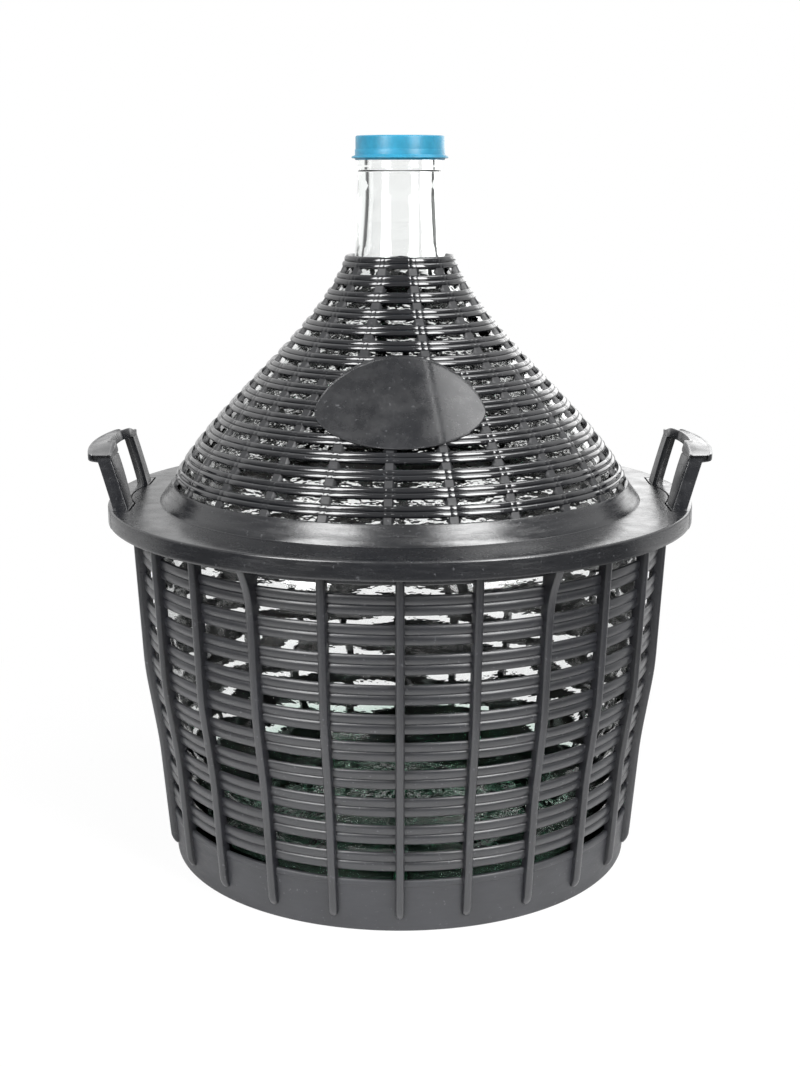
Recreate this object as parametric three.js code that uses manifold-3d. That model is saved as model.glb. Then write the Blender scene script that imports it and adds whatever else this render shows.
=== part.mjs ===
import * as THREE from 'three';
import { mergeVertices } from 'three/addons/utils/BufferGeometryUtils.js';
import Module from 'manifold-3d';

const wasm = await Module();
wasm.setup();

// A glass demijohn in a moulded basket, with a slotted cone over its shoulder and a push-on cap.
// Millimetres, +Z up, the origin on the floor under the middle, the handles on -X and +X.

// The cover's flange is the widest circle, and the basket's wall stands under its overhang
const flangeRadius = 195;
const rimOverhang = 18.5;

// Basket wall: how far its outer face draws in from the rim to the knee, the waist and the foot
const basketHeight = 241.4;
const kneeHeight = 135;
const kneeDraw = 5.5;
const waistHeight = 84;
const waistDraw = 8;
const footDraw = 7;
const wallThickness = 2.6;
const baseBandHeight = 34.6;
const rimBandHeight = 16;
const ringCount = 10;
const windowHeight = 6;

// Basket ribs, rim and floor
const ribCount = 24;
const ribWidth = 5.4;
const ribDepth = 4.6;
const ribFootHeight = 9.6;
const ribFootDepth = 1.2;
const ribFootRise = 6;
const gussetPitch = 4;
const gussetHeight = 40;
const gussetSteps = 5;
const rimThickness = 2.5;
const floorThickness = 2.6;
const floorLift = 2;
const footBandWidth = 9;
const drainCount = 8;
const drainWidth = 9;
const drainInner = 55;
const drainOuter = 120;

// Handles
const handleSpan = 104;
const handleInset = 19;
const handleLean = THREE.MathUtils.degToRad(16);
const handleRise = 40;
const legDepth = 10;
const legPlateWidth = 5;
const legWebWidth = 7;
const legWebDepth = 4.5;
const legFootSpread = 6;
const legFootHeight = 14;
const gripThickness = 4.6;
const gripOverhang = 1;
const gripWidth = 15;
const gripArch = 7;
const gripArchSteps = 5;
const notchMargin = 6;
const lugMargin = 1;

// Cover: flange and skirt, plain band and slotted cone
const coverThickness = 2.4;
const skirtDepth = 12;
const flangeWidth = 34.5;
const bandHeight = 12;
const bandDraw = 7.5;
const coneHeight = 148;
const coneBellyDraw = 25.3;
const coneWaistSpread = 17.5;
const coneWall = 3;
const slotRows = 16;
const slotHeight = 4.4;
const beadsPerBand = 2;
const coneBeadDepth = 1.3;
const postPairs = 12;
const mainPostWidth = 5.6;
const shortPostWidth = 4.4;
const shortPostRows = 9;
const coverTurn = THREE.MathUtils.degToRad(-2.8);

// Oval plate on the front of the cover
const plateWidth = 105;
const plateFoot = 51.5;
const plateFootFullness = 0.5;
const plateCorner = 70.3;
const plateTop = 102.2;
const plateTopFullness = 0.7;
const plateProud = 1;
const plateSunk = 2.5;
const plateMargin = 2;
const plateRows = 5;
const plateSteps = 12;

// Demijohn
const glassThickness = 4.2;
const puntHeight = 12;
const footRingWidth = 11;
const heelRadius = 30;
const shoulderDrop = 36.4;
const shoulderLead = 22;
const slopeLead = 14.7;
const slopeSpread = 11;
const neckRadius = 27.8;
const neckBore = 21.8;
const neckRise = 73.2;
const neckFootRise = 4;
const neckCurveHeight = 21;
const finishHeight = 21.3;
const finishDraw = 0.6;
const lipRound = 1.5;
const beadRise = 2.6;
const beadHeight = 2.4;
const beadDepth = 0.5;
const grooveHeight = 6.5;
const grooveDepth = 0.6;

// Cap
const capWall = 1.6;
const capTop = 2;
const capFootGap = 8.3;
const capLipWidth = 2.3;
const capLipHeight = 2.6;
const capEdge = 0.8;
const plugDepth = 7;
const plugWall = 1.6;

// Room between pieces
const seatGap = 0.3;
const slideGap = 0.5;
const bottleRoom = 5.4;
const shoulderRoom = 4;
const capRoom = 1.2;

// How far a cutting block runs past what it cuts
const cutMargin = 1;

const roundSteps = 48;
const glassSteps = 32;
const capSteps = 28;

// Solids from geometry: shared corners merged, flat triangles of no area left out
function solidOf(geometry) {
  const bare = geometry.clone();
  bare.deleteAttribute('normal');
  bare.deleteAttribute('uv');
  const merged = mergeVertices(bare, 1e-4);
  const corners = [];
  for (let i = 0; i < merged.index.count; i += 3) {
    const [a, b, c] = [0, 1, 2].map((k) => merged.index.getX(i + k));
    if (a !== b && b !== c && c !== a) corners.push(a, b, c);
  }
  const vertProperties = new Float32Array(merged.attributes.position.array);
  const triVerts = new Uint32Array(corners);
  return new wasm.Manifold(new wasm.Mesh({ numProp: 3, vertProperties, triVerts }));
}

function geometryOf(solid) {
  const { vertProperties, triVerts } = solid.getMesh();
  const geometry = new THREE.BufferGeometry();
  geometry.setAttribute('position', new THREE.BufferAttribute(vertProperties, 3));
  geometry.setIndex(new THREE.BufferAttribute(triVerts, 1));
  return geometry;
}

const joined = (solids) => solids.reduce((sum, solid) => sum.add(solid));

// A turned solid from [radius, height] points that go up the outside
function turned(profile, steps = roundSteps) {
  const points = profile.map(([radius, height]) => new THREE.Vector2(radius, height));
  return solidOf(new THREE.LatheGeometry(points, steps).rotateX(Math.PI / 2));
}

// A flat outline of [across, up] points, drawn in the XZ plane and thickened along +Y
function thickenedAlongY(outline, from, to) {
  const shape = new THREE.Shape(outline.map(([across, up]) => new THREE.Vector2(across, up)));
  const geometry = new THREE.ExtrudeGeometry(shape, { depth: to - from, bevelEnabled: false });
  return solidOf(geometry.rotateX(Math.PI / 2).translate(0, to, 0));
}

function block(x0, x1, y0, y1, z0, z1) {
  const box = new THREE.BoxGeometry(x1 - x0, y1 - y0, z1 - z0);
  return solidOf(box.translate((x0 + x1) / 2, (y0 + y1) / 2, (z0 + z1) / 2));
}

// A wall of revolution on a grid of columns, rows and layers. A cell is solid where isFilled
// says so, and only the faces between solid and empty cells are made.
function gridWall({ columns, rows, layers, pointAt, isFilled }) {
  const wrap = ([column, row, layer]) => [(column + columns) % columns, row, layer];
  const within = ([, row, layer]) => row >= 0 && row < rows && layer >= 0 && layer < layers;
  const solidAt = (cell) => within(cell) && isFilled(...wrap(cell));

  const cells = [];
  const position = [];
  for (let column = 0; column < columns; column++) {
    for (let row = 0; row <= rows; row++) {
      for (let layer = 0; layer <= layers; layer++) {
        const [angle, radius, height] = pointAt(column, row, layer);
        position.push(radius * Math.cos(angle), radius * Math.sin(angle), height);
        cells.push([column, row, layer]);
      }
    }
  }
  const indexOf = (corner) => {
    const [column, row, layer] = wrap(corner);
    return (column * (rows + 1) + row) * (layers + 1) + layer;
  };

  const triangles = [];
  const addFace = (cell, axis, side) => {
    const quad = [[0, 0], [1, 0], [1, 1], [0, 1]].map(([u, v]) => {
      const corner = [...cell];
      corner[axis] += side;
      corner[(axis + 1) % 3] += u;
      corner[(axis + 2) % 3] += v;
      return indexOf(corner);
    });
    if (!side) quad.reverse();
    triangles.push(quad[0], quad[1], quad[2], quad[0], quad[2], quad[3]);
  };
  for (const cell of cells.filter(solidAt)) {
    for (const axis of [0, 1, 2]) {
      for (const side of [0, 1]) {
        const beyond = [...cell];
        beyond[axis] += side ? 1 : -1;
        if (!solidAt(beyond)) addFace(cell, axis, side);
      }
    }
  }

  const geometry = new THREE.BufferGeometry();
  geometry.setAttribute('position', new THREE.Float32BufferAttribute(position, 3));
  geometry.setIndex(triangles);
  return solidOf(geometry);
}

// Straight-line reading of a [height, value] table
function between(table, height) {
  const next = table.findIndex(([level]) => level >= height);
  if (next === -1) return table[table.length - 1][1];
  if (next === 0) return table[0][1];
  const [[lowHeight, low], [highHeight, high]] = [table[next - 1], table[next]];
  return THREE.MathUtils.mapLinear(height, lowHeight, highHeight, low, high);
}

// Levels shared by the pieces
const front = -Math.PI / 2;
const coverSeat = basketHeight + seatGap;
const flangeTop = coverSeat + coverThickness;
const coneFoot = flangeTop + bandHeight;
const coneTop = coneFoot + coneHeight;
const skirtInner = flangeRadius - coverThickness;
const skirtFoot = flangeTop - skirtDepth;
const rimRadius = skirtInner - slideGap;
const rimUnderside = basketHeight - rimThickness;
const floorTop = floorLift + floorThickness;
const handleFootRadius = flangeRadius - handleInset;
const lugInner = handleFootRadius - lugMargin;
const lugHalf = handleSpan / 2 + notchMargin - slideGap;
const glassFoot = floorTop + seatGap;
const neckFoot = coneTop + neckFootRise;
const mouthHeight = coneTop + neckRise;
const finishFoot = mouthHeight - finishHeight;
const finishRadius = neckRadius - finishDraw;
const capInner = finishRadius + seatGap;
const capOuter = capInner + capWall;
const capReach = capOuter + capLipWidth;

// Basket wall: base band, ten rings with windows between them, rim band and proud ribs
const wallTopRadius = flangeRadius - rimOverhang;
const kneeRadius = wallTopRadius - kneeDraw;
const waistRadius = kneeRadius - waistDraw;
const footRadius = waistRadius - footDraw;
const wallTable = [
  [0, footRadius],
  [waistHeight, waistRadius],
  [kneeHeight, kneeRadius],
  [basketHeight, wallTopRadius],
];
const wallOuter = (height) => between(wallTable, height);
const wallInner = (height) => wallOuter(height) - wallThickness;

// A rib swells out of the wall at its foot, and every fourth rib flares into a gusset under the
// rim. Behind a rib the post between two windows narrows to an edge, so the windows widen inwards.
function ribOuter(height, isGusset) {
  const swell = Math.min(1, (height - ribFootHeight) / ribFootRise);
  const flare = Math.max(0, 1 - (basketHeight - height) / gussetHeight);
  const straight = wallOuter(height) + THREE.MathUtils.lerp(ribFootDepth, ribDepth, swell);
  return isGusset ? THREE.MathUtils.lerp(straight, rimRadius - slideGap, flare * flare) : straight;
}

function basketWall() {
  const windowRows = ringCount + 1;
  const rimBandFoot = basketHeight - rimBandHeight;
  const ringHeight = (rimBandFoot - baseBandHeight - windowRows * windowHeight) / ringCount;
  const heights = [0, ribFootHeight];
  for (let row = 0; row < windowRows; row++) {
    const foot = baseBandHeight + row * (windowHeight + ringHeight);
    heights.push(foot, foot + windowHeight);
  }
  heights.push(basketHeight);

  // The ribs' outer edges turn only at levels of their own
  const ribLevels = [ribFootHeight, ribFootHeight + ribFootRise, waistHeight, kneeHeight];
  for (let step = 0; step <= gussetSteps; step++) {
    ribLevels.push(basketHeight - gussetHeight * (1 - step / gussetSteps));
  }
  const nearest = (height) => ribLevels.reduce((best, level) =>
    Math.abs(level - height) < Math.abs(best - height) ? level : best);

  const isWindow = (row) => row >= 2 && row < heights.length - 2 && row % 2 === 0;
  return gridWall({
    columns: 2 * ribCount,
    rows: heights.length - 1,
    layers: 2,
    pointAt: (column, row, layer) => {
      const height = layer === 2 ? nearest(heights[row]) : heights[row];
      const rib = Math.floor(column / 2);
      const isGusset = rib % gussetPitch === gussetPitch / 2;
      const radius = [wallInner, wallOuter, ribOuter][layer](height, isGusset);
      const half = layer === 0 ? 0 : Math.asin(ribWidth / 2 / radius);
      const turn = front + (rib * 2 * Math.PI) / ribCount;
      return [turn + (column % 2 ? half : -half), radius, height];
    },
    isFilled: (column, row, layer) => {
      const onRib = column % 2 === 0;
      return layer === 0 ? onRib || !isWindow(row) : onRib && row >= 1;
    },
  });
}

function basketFloor() {
  const rim = wallOuter(0) - wallThickness / 2;
  const plate = turned([
    [0, floorLift],
    [rim - footBandWidth, floorLift],
    [rim - footBandWidth + floorLift, 0],
    [rim, 0],
    [rim, floorTop],
    [0, floorTop],
  ]);
  const half = drainWidth / 2;
  const slot = block(drainInner, drainOuter, -half, half, -cutMargin, floorTop + cutMargin);
  const turns = Array.from({ length: drainCount }, (_, i) => (i * 360) / drainCount);
  return turns.reduce((rest, turn) => rest.subtract(slot.rotate([0, 0, turn])), plate);
}

function basketRim() {
  const inner = wallOuter(basketHeight) - wallThickness / 2;
  return turned([
    [inner, rimUnderside],
    [rimRadius, rimUnderside],
    [rimRadius, basketHeight],
    [inner, basketHeight],
    [inner, rimUnderside],
  ]);
}

// The lug carries the handle and fills the cover's notch, level with the flange and the skirt
function handleLug() {
  const ring = turned([
    [lugInner, rimUnderside],
    [skirtInner, rimUnderside],
    [skirtInner, skirtFoot],
    [flangeRadius, skirtFoot],
    [flangeRadius, flangeTop],
    [lugInner, flangeTop],
    [lugInner, rimUnderside],
  ]);
  const far = flangeRadius + cutMargin;
  const low = skirtFoot - cutMargin;
  return ring.intersect(block(lugInner, far, -lugHalf, lugHalf, low, flangeTop + cutMargin));
}

// A leg is an angle section: an outer plate and an inner web that spreads at its foot
function handleLeg() {
  const outer = handleSpan / 2;
  const length = (handleRise - gripThickness / 2) / Math.cos(handleLean);
  const sunk = rimThickness;
  const plate = block(0, legDepth, outer - legPlateWidth, outer, -sunk, length);
  const webInner = outer - legPlateWidth - legWebWidth;
  const outline = [
    [outer - legPlateWidth / 2, -sunk],
    [outer - legPlateWidth / 2, length],
    [webInner, length],
    [webInner, legFootHeight],
    [webInner - legFootSpread, 0],
    [webInner - legFootSpread, -sunk],
  ];
  const web = thickenedAlongY(outline, -legWebDepth, 0).rotate([0, 0, 90]);
  const lean = THREE.MathUtils.radToDeg(handleLean);
  return plate.add(web).rotate([0, lean, 0]).translate([handleFootRadius, 0, flangeTop]);
}

// The grip is a plate with a straight inner edge, round corners and an arched outer edge
function handleGrip() {
  const half = handleSpan / 2;
  const corner = gripThickness;
  const underside = handleRise - gripThickness;
  const inner = handleFootRadius + underside * Math.tan(handleLean) - gripOverhang;
  const outer = inner + gripWidth;
  const shape = new THREE.Shape();
  shape.moveTo(inner, -half + corner);
  shape.quadraticCurveTo(inner, -half, inner + corner, -half);
  shape.lineTo(outer - corner, -half);
  shape.quadraticCurveTo(outer, -half, outer, -half + corner);
  shape.quadraticCurveTo(outer + 2 * gripArch, 0, outer, half - corner);
  shape.quadraticCurveTo(outer, half, outer - corner, half);
  shape.lineTo(inner + corner, half);
  shape.quadraticCurveTo(inner, half, inner, half - corner);
  const geometry = new THREE.ExtrudeGeometry(shape, {
    depth: gripThickness,
    bevelEnabled: false,
    curveSegments: gripArchSteps,
  });
  return solidOf(geometry.translate(0, 0, flangeTop + underside));
}

function basketSolid() {
  const leg = handleLeg();
  const handle = joined([handleLug(), leg, leg.mirror([0, 1, 0]), handleGrip()]);
  return joined([basketWall(), basketFloor(), basketRim(), handle, handle.rotate([0, 0, 180])]);
}

// Cover profile: a straight band, then a cone that swells low down and draws in towards the
// neck. Its mouth is just wide enough to pass over the cap.
const bandFootRadius = flangeRadius - flangeWidth;
const bandTopRadius = bandFootRadius - bandDraw;
const coneTopRadius = capReach + capRoom + coneWall;
const coneBellyRadius = bandTopRadius - coneBellyDraw;
const coneWaistRadius = coneTopRadius + coneWaistSpread;
function coverOuter(height) {
  if (height <= coneFoot) {
    return THREE.MathUtils.mapLinear(height, flangeTop, coneFoot, bandFootRadius, bandTopRadius);
  }
  const t = Math.min(1, (height - coneFoot) / coneHeight);
  const s = 1 - t;
  const ends = s * s * s * bandTopRadius + t * t * t * coneTopRadius;
  return ends + 3 * s * t * (s * coneBellyRadius + t * coneWaistRadius);
}
const coverInner = (height) => coverOuter(height) - coneWall;

// Levels at even steps along the cone's slope. Each row is one slot and above it a band of round
// beads, with a groove at its foot, at its top and between the beads. The inside has no beads, so
// it turns only at the foot and the top of a band.
const levelsPerRow = 1 + 2 * beadsPerBand;
function coneLevels() {
  const samples = 400;
  const table = [[0, coneFoot]];
  for (let i = 1; i <= samples; i++) {
    const [low, high] = [i - 1, i].map((k) => coneFoot + (coneHeight * k) / samples);
    const step = Math.hypot(high - low, coverOuter(high) - coverOuter(low));
    table.push([table[i - 1][0] + step, high]);
  }
  const pitch = table[samples][0] / slotRows;
  const band = pitch - slotHeight;
  const level = (outer, inner, depth) => ({ outer: between(table, outer), inner: between(table, inner), depth });
  const levels = [level(0, 0, 0)];
  for (let row = 0; row < slotRows; row++) {
    const bandFoot = row * pitch + slotHeight;
    for (let step = 0; step <= 2 * beadsPerBand; step++) {
      const outer = bandFoot + (band * step) / (2 * beadsPerBand);
      const inner = step < beadsPerBand ? bandFoot : bandFoot + band;
      levels.push(level(outer, inner, step % 2 ? 0 : coneBeadDepth));
    }
  }
  return levels;
}

// The plate's edges, seen from the front: the lower one is half an ellipse, the upper one a little
// leaner towards its ends
function plateEdge(across, apex, fullness) {
  const share = (1 - (across / (plateWidth / 2)) ** 2) ** fullness;
  return flangeTop + plateCorner + (apex - plateCorner) * share;
}
const plateUnder = (across) => plateEdge(across, plateFoot, plateFootFullness);
const plateOver = (across) => plateEdge(across, plateTop, plateTopFullness);
function isBehindPlate(angle, height) {
  const across = coverOuter(height) * Math.cos(angle);
  const facing = Math.sin(angle) < 0 && Math.abs(across) < plateWidth / 2;
  return facing && height > plateUnder(across) && height < plateOver(across);
}

// Main posts run the whole cone. The short posts between them end part of the way up, where
// their two edges meet. All posts narrow to an edge on the inside, so the slots widen inwards.
// Slots that would lie wholly behind the plate are left out.
function coverCone() {
  const levels = [{ outer: coverSeat, inner: coverSeat, depth: 0 }, ...coneLevels()];
  const shortTop = 1 + levelsPerRow * shortPostRows;
  const pitch = Math.PI / postPairs;
  const angleAt = (column, row, layer = 1) => {
    const isShort = column % 4 >= 2;
    const ended = isShort && row > shortTop;
    const width = isShort ? shortPostWidth : mainPostWidth;
    const half = ended || layer === 0 ? 0 : Math.asin(width / 2 / coverOuter(levels[row].outer));
    const post = front + coverTurn + pitch * (1 + Math.floor(column / 2));
    return post + (column % 2 ? half : -half);
  };
  const isSlot = (column, row) => {
    const onPost = column % 4 === 0 || (column % 4 === 2 && row < shortTop);
    const corners = [[0, 0], [1, 0], [1, 1], [0, 1]];
    const isHidden = corners.every(([u, v]) =>
      isBehindPlate(angleAt(column + u, row + v), levels[row + v].outer));
    return row % levelsPerRow === 1 && !onPost && !isHidden;
  };
  return gridWall({
    columns: 4 * postPairs,
    rows: levels.length - 1,
    layers: 1,
    pointAt: (column, row, layer) => {
      const { outer, inner, depth } = levels[row];
      const [radius, height] = layer ? [coverOuter(outer) - depth, outer] : [coverInner(inner), inner];
      return [angleAt(column, row, layer), radius, height];
    },
    isFilled: (column, row) => !isSlot(column, row),
  });
}

function coverFlange() {
  const inner = bandFootRadius - coneWall / 2;
  return turned([
    [inner, coverSeat],
    [skirtInner, coverSeat],
    [skirtInner, skirtFoot],
    [flangeRadius - slideGap, skirtFoot],
    [flangeRadius, flangeTop - coverThickness / 2],
    [flangeRadius - coverThickness / 2, flangeTop],
    [inner, flangeTop],
    [inner, coverSeat],
  ]);
}

// The plate is cut from a skin that stands a little proud of the cone and closes the beads' grooves
function coverPlate() {
  const low = flangeTop + plateFoot - plateMargin;
  const high = flangeTop + plateTop + plateMargin;
  const rows = Array.from({ length: plateRows + 1 }, (_, i) => i / plateRows);
  const levels = rows.map((share) => THREE.MathUtils.lerp(low, high, share));
  const outer = levels.map((height) => [coverOuter(height) + plateProud, height]);
  const inner = levels.map((height) => [coverOuter(height) - plateSunk, height]);
  const skin = turned([...outer, ...inner.reverse(), outer[0]]);
  const across = Array.from({ length: plateSteps + 1 }, (_, i) =>
    (-plateWidth / 2) * Math.cos((i * Math.PI) / plateSteps));
  const under = across.map((x) => [x, plateUnder(x)]);
  const over = across.slice(1, -1).reverse().map((x) => [x, plateOver(x)]);
  return skin.intersect(thickenedAlongY([...under, ...over], -bandTopRadius, 0));
}

// The flange is notched round each handle's lug, with room to slide past it
function coverSolid() {
  const half = lugHalf + slideGap;
  const far = flangeRadius + cutMargin;
  const low = skirtFoot - cutMargin;
  const notch = block(lugInner - slideGap, far, -half, half, low, flangeTop + cutMargin);
  const flange = coverFlange().subtract(notch).subtract(notch.rotate([0, 0, 180]));
  return joined([coverCone(), flange, coverPlate()]);
}

// Demijohn: punted base, body that follows the basket, shoulder that follows the cone, ringed neck
const bodyRadius = (height) => wallInner(height) - bottleRoom;
const shoulderRadius = (height) => Math.max(neckRadius, coverInner(height) - shoulderRoom);

function glassProfile({ heelSteps, shoulderSteps, slopeSteps }) {
  const bodyTop = basketHeight - shoulderDrop;
  const heelEdge = bodyRadius(glassFoot + heelRadius);
  const heel = Array.from({ length: heelSteps + 1 }, (_, i) => {
    const turn = (i * Math.PI) / 2 / heelSteps;
    const out = heelEdge - heelRadius * (1 - Math.sin(turn));
    return [out, glassFoot + heelRadius * (1 - Math.cos(turn))];
  });
  const body = [waistHeight, kneeHeight, bodyTop].map((height) => [bodyRadius(height), height]);
  const slopeRadius = shoulderRadius(coneFoot);
  const shoulderCurve = new THREE.CubicBezierCurve(
    new THREE.Vector2(bodyRadius(bodyTop), bodyTop),
    new THREE.Vector2(bodyRadius(bodyTop), bodyTop + shoulderLead),
    new THREE.Vector2(slopeRadius + slopeSpread, coneFoot - slopeLead),
    new THREE.Vector2(slopeRadius, coneFoot),
  );
  const shoulder = shoulderCurve.getPoints(shoulderSteps).slice(1).map(({ x, y }) => [x, y]);
  const slope = Array.from({ length: slopeSteps }, (_, i) => {
    const height = THREE.MathUtils.lerp(coneFoot, neckFoot, (i + 1) / slopeSteps);
    return [shoulderRadius(height), height];
  });
  const punt = [[0, glassFoot + puntHeight], [heelEdge - heelRadius - footRingWidth, glassFoot]];
  return [...punt, ...heel, ...body, ...shoulder, ...slope];
}

// Up the neck: a shallow groove, then the slightly narrower finish that takes the cap, with a bead
function glassNeck() {
  const bead = finishFoot + beadRise;
  return [
    [neckRadius, neckFoot + neckCurveHeight],
    [neckRadius, finishFoot - grooveHeight],
    [finishRadius - grooveDepth, finishFoot - grooveHeight / 2],
    [finishRadius, finishFoot],
    [finishRadius, bead],
    [finishRadius + beadDepth, bead + beadHeight / 2],
    [finishRadius, bead + beadHeight],
    [finishRadius, mouthHeight - lipRound],
    [finishRadius - lipRound, mouthHeight],
  ];
}

// The inside is the outside moved in square to itself by the glass thickness
function insetProfile(points, distance) {
  return points.map(([radius, height], i) => {
    const [before, after] = [points[Math.max(0, i - 1)], points[Math.min(points.length - 1, i + 1)]];
    const along = new THREE.Vector2(after[0] - before[0], after[1] - before[1]).normalize();
    const inset = i === 0 ? 0 : radius - along.y * distance;
    return [inset, height + (i === 0 ? distance : along.x * distance)];
  });
}

function demijohnSolid() {
  const outside = glassProfile({ heelSteps: 3, shoulderSteps: 3, slopeSteps: 5 });
  const coarse = glassProfile({ heelSteps: 2, shoulderSteps: 2, slopeSteps: 4 });
  const inside = insetProfile(coarse, glassThickness);
  return turned([
    ...outside,
    ...glassNeck(),
    [neckBore + lipRound, mouthHeight],
    [neckBore, mouthHeight - lipRound],
    [neckBore, neckFoot + neckCurveHeight],
    ...inside.reverse(),
  ], glassSteps);
}

// Cap: a cup over the finish, with a lip round its foot and a plug that seals the bore
function capSolid() {
  const under = mouthHeight + seatGap;
  const foot = finishFoot + capFootGap;
  const plugOuter = neckBore - seatGap;
  const plugInner = plugOuter - plugWall;
  return turned([
    [0, under],
    [plugInner, under],
    [plugInner, under - plugDepth],
    [plugOuter, under - plugDepth],
    [plugOuter, under],
    [capInner, under],
    [capInner, foot],
    [capReach, foot],
    [capReach, foot + capLipHeight],
    [capOuter, foot + capLipHeight + capEdge],
    [capOuter, under + capTop - capEdge],
    [capOuter - capEdge, under + capTop],
    [0, under + capTop],
  ], capSteps);
}

// Finishes
const blackPlastic = new THREE.MeshStandardMaterial({ color: 0x1d1e20, roughness: 0.38, metalness: 0 });
const coverPlastic = new THREE.MeshStandardMaterial({ color: 0x1b1b1e, roughness: 0.3, metalness: 0 });
const clearGlass = new THREE.MeshStandardMaterial({
  color: 0xdbe9e2,
  roughness: 0.05,
  metalness: 0,
  transparent: true,
  opacity: 0.35,
});
const bluePlastic = new THREE.MeshStandardMaterial({ color: 0x2fa8de, roughness: 0.45, metalness: 0 });

const pieces = [
  ['basket', basketSolid(), blackPlastic],
  ['demijohn', demijohnSolid(), clearGlass],
  ['cover', coverSolid(), coverPlastic],
  ['cap', capSolid(), bluePlastic],
];

const part = new THREE.Group();
for (const [name, solid, material] of pieces) {
  const mesh = new THREE.Mesh(geometryOf(solid), material);
  mesh.name = name;
  part.add(mesh);
}

export default part;
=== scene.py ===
"""A glass demijohn in a black moulded basket, with a slotted cone over its shoulder and a blue cap.

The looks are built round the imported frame. Shapes are worked out in millimetres, +Z up, with the
origin on the floor under the middle, and each mesh is written in metres.
"""

import bmesh
import bpy
import numpy as np
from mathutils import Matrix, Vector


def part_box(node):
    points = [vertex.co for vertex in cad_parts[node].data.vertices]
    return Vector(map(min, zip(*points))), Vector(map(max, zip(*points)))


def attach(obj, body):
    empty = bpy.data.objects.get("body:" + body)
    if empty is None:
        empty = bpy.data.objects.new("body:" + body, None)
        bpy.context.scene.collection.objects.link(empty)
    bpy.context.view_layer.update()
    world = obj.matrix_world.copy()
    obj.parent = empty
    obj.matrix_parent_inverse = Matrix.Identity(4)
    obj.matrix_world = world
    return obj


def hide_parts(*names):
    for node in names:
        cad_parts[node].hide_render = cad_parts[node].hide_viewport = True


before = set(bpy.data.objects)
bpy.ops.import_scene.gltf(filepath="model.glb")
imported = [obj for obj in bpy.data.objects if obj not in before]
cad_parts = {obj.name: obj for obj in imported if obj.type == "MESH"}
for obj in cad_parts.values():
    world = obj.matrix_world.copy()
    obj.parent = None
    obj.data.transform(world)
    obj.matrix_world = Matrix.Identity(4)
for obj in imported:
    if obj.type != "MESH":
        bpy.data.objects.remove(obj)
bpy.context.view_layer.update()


# The camera stands at the photograph's viewpoint, a little over a metre in front of the axis and
# just under the height of the cap, and looks down by about 13 degrees.
camera_distance = 1.0703
camera_height = 0.4588
camera_pitch = np.radians(12.766)
camera_lens = 54.33

camera_data = bpy.data.cameras.new("camera")
camera_data.lens = camera_lens
camera = bpy.data.objects.new("camera", camera_data)
camera.location = (0, -camera_distance, camera_height)
camera.rotation_euler = (np.pi / 2 - camera_pitch, 0, 0)
bpy.context.scene.collection.objects.link(camera)
bpy.context.scene.camera = camera
bpy.context.scene.view_settings.view_transform = "Standard"


# The floor is a white sheet, matt near the basket and self-lit towards its edge, so that it stays
# white all over and still keeps the soft shadow.
def linear(hex_colour, alpha=1.0):
    """An sRGB hex colour as linear red, green, blue and alpha.

    Each channel c is c / 12.92 below 0.04045, and ((c + 0.055) / 1.055) to the power 2.4 above.
    """
    c = np.array([int(hex_colour[i : i + 2], 16) / 255 for i in (0, 2, 4)])
    channels = np.where(c <= 0.04045, c / 12.92, ((c + 0.055) / 1.055) ** 2.4)
    return (*channels.tolist(), alpha)


def add_node(tree, kind, settings=(), values=(), links=(), stops=()):
    """Adds a node with its settings, its sockets' values, its incoming links and its colour stops."""
    node = tree.nodes.new(kind)
    for name, value in dict(settings).items():
        setattr(node, name, value)
    for name, value in dict(values).items():
        node.inputs[name].default_value = value
    for name, output in dict(links).items():
        tree.links.new(output, node.inputs[name])
    for place, (position, colour) in enumerate(stops):
        node.color_ramp.elements[place].position = position
        node.color_ramp.elements[place].color = colour
    return node


def new_material(name):
    """An empty node material and its tree."""
    material = bpy.data.materials.new(name)
    material.use_nodes = True
    material.node_tree.nodes.clear()
    return material, material.node_tree


floor_colour = "F6F6F6"
# The darker colour that mirrors and bounced light see away from the basket: painted shade
painted_shade_floor_colour = "5E5E5E"
floor_reach = 6.0
floor_own_light = 0.9
shadow_inner, shadow_outer = 0.2, 0.55
cover_inner, cover_outer = 0.14, 0.155
lit_shift = 0.15
lit_reach, dim_reach = 0.32, 0.77
front_reach = 0.3

floor_mesh = bpy.data.meshes.new("floor")
corners = [(x * floor_reach, y * floor_reach, 0) for x, y in ((-1, -1), (1, -1), (1, 1), (-1, 1))]
floor_mesh.from_pydata(corners, [], [(0, 1, 2, 3)])
floor = bpy.data.objects.new("floor", floor_mesh)
bpy.context.scene.collection.objects.link(floor)

white_sheet, tree = new_material("white_sheet")
glow = add_node(tree, "ShaderNodeEmission", values={"Strength": 1.0})
place = add_node(tree, "ShaderNodeTexCoord")
reach = add_node(
    tree, "ShaderNodeVectorMath", {"operation": "LENGTH"}, links={0: place.outputs["Object"]}
)
path = add_node(tree, "ShaderNodeLightPath")
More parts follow.
